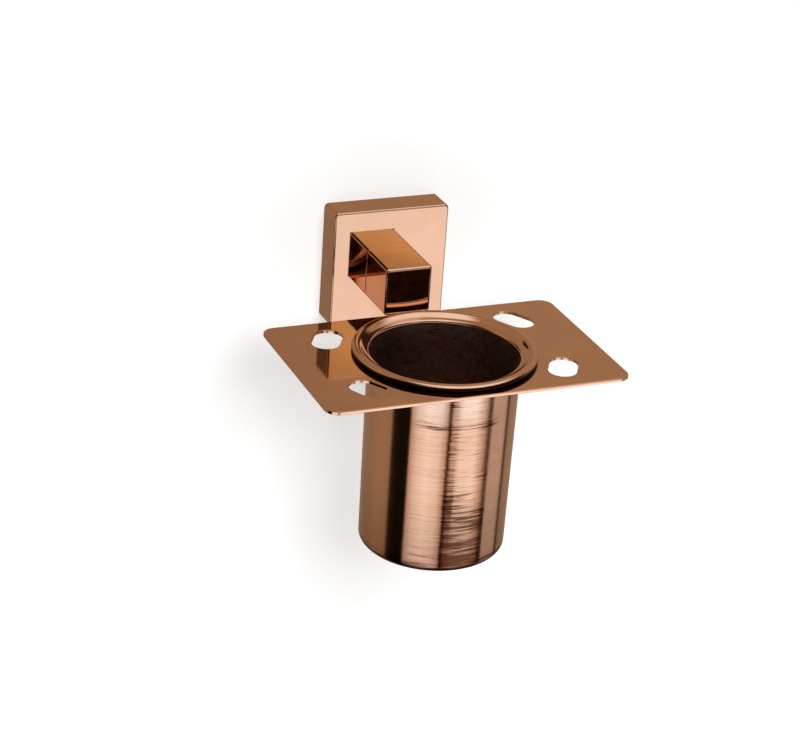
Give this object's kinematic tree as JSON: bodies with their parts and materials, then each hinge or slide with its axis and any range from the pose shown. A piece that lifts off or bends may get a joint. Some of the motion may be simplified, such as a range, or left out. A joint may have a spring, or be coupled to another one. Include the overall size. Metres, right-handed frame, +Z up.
{
  "type": "wall-mounted tumbler and toothbrush holder",
  "caption": "Square wall cover with a short square arm carrying a thin rounded plate with slots for toothbrushes and a hanging metal tumbler with a rolled lip.",
  "frame": {"origin": "on the wall plane, at the middle of the wall bracket's back face, which is also the middle of the square cover", "axes": "+Y points into the wall, so the holder reaches out along -Y; +Z up; +X to the right as seen from the room, facing the wall"},
  "size_m": [0.139, 0.124, 0.132],
  "materials": {
    "copper_polished": "polished rose-copper plating over brass",
    "copper_plate": "near-mirror rose-copper plating over stainless steel sheet",
    "copper_brushed": "finely brushed rose-copper plating over stainless steel",
    "steel": "plain machined stainless steel"
  },
  "bodies": {
    "holder": {"wall_bracket": "steel", "wall_cover": "copper_polished", "arm": "copper_polished", "arm_screw": "steel", "arm_washer": "steel", "arm_spring_washer": "steel", "arm_locating_pin": "steel", "holder_plate": "copper_plate", "plate_screw_rear": "steel", "plate_screw_front": "steel"},
    "tumbler": {"tumbler": "copper_brushed"},
    "set_screw": {"cover_set_screw": "steel"}
  },
  "joints": [
    {"name": "tumbler_lift", "type": "slide", "parent": "holder", "child": "tumbler", "axis": [0, 0, 1], "range_m": [0, 0.1]},
    {"name": "set_screw_turn", "type": "hinge", "parent": "holder", "child": "set_screw", "pos_m": [0, -0.0034, -0.023], "axis": [0, 0, -1], "range_deg": [0, 1080]}
  ]
}
